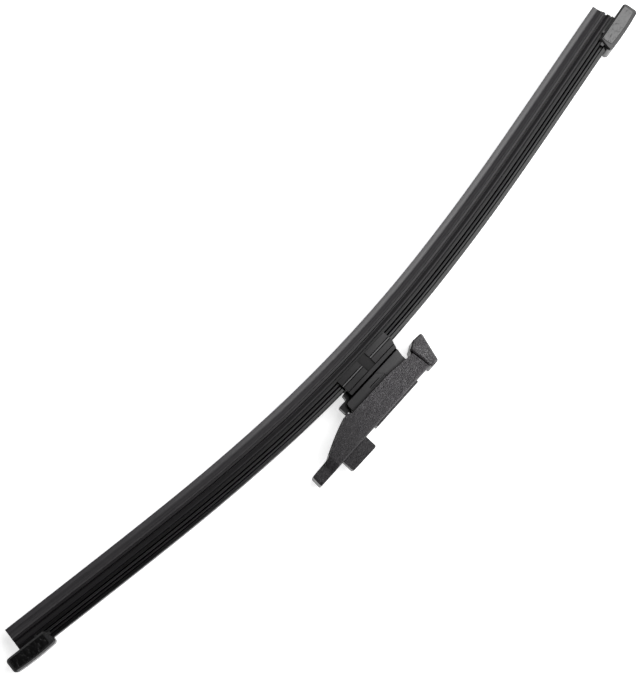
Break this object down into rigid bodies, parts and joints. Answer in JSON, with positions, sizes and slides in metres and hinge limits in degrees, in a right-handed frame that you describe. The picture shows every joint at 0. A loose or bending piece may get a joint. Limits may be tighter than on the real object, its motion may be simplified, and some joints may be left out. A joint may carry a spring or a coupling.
{
  "type": "rear wiper blade",
  "caption": "Bowed flat-spring rear window wiper blade with a rubber lip, spring rails, back strip, end caps and a rocking clip-on arm adapter.",
  "frame": {"origin": "middle of the bounding box at its lowest point, with the blade lying on its side", "axes": "+X along the blade towards the end where the arm comes from, +Y away from the glass towards the arm, +Z across the blade's width, up as it lies"},
  "size_m": [0.3448, 0.0544, 0.0164],
  "materials": {
    "wiping_rubber": "satin extruded rubber",
    "rail_steel": "black coated spring steel",
    "back_strip": "satin extruded strip",
    "cap_plastic": "black moulded plastic with a fine grain",
    "base_plastic": "black moulded plastic",
    "pin_steel": "ground steel",
    "adapter_plastic": "black moulded plastic with a spark-eroded grain"
  },
  "bodies": {
    "blade": {"wiper_rubber": "wiping_rubber", "spring_rail_lower": "rail_steel", "spring_rail_upper": "rail_steel", "back_strip_nose_side": "back_strip", "back_strip_tail_side": "back_strip", "end_cap_nose_side": "cap_plastic", "end_cap_tail_side": "cap_plastic", "clamp_base": "base_plastic", "pivot_pin": "pin_steel"},
    "adapter": {"arm_adapter": "adapter_plastic"}
  },
  "joints": [
    {"name": "adapter_pivot", "type": "hinge", "parent": "blade", "child": "adapter", "pos_m": [0, 0.01554, 0.0082], "axis": [0, 0, 1], "range_deg": [-10, 10]}
  ]
}
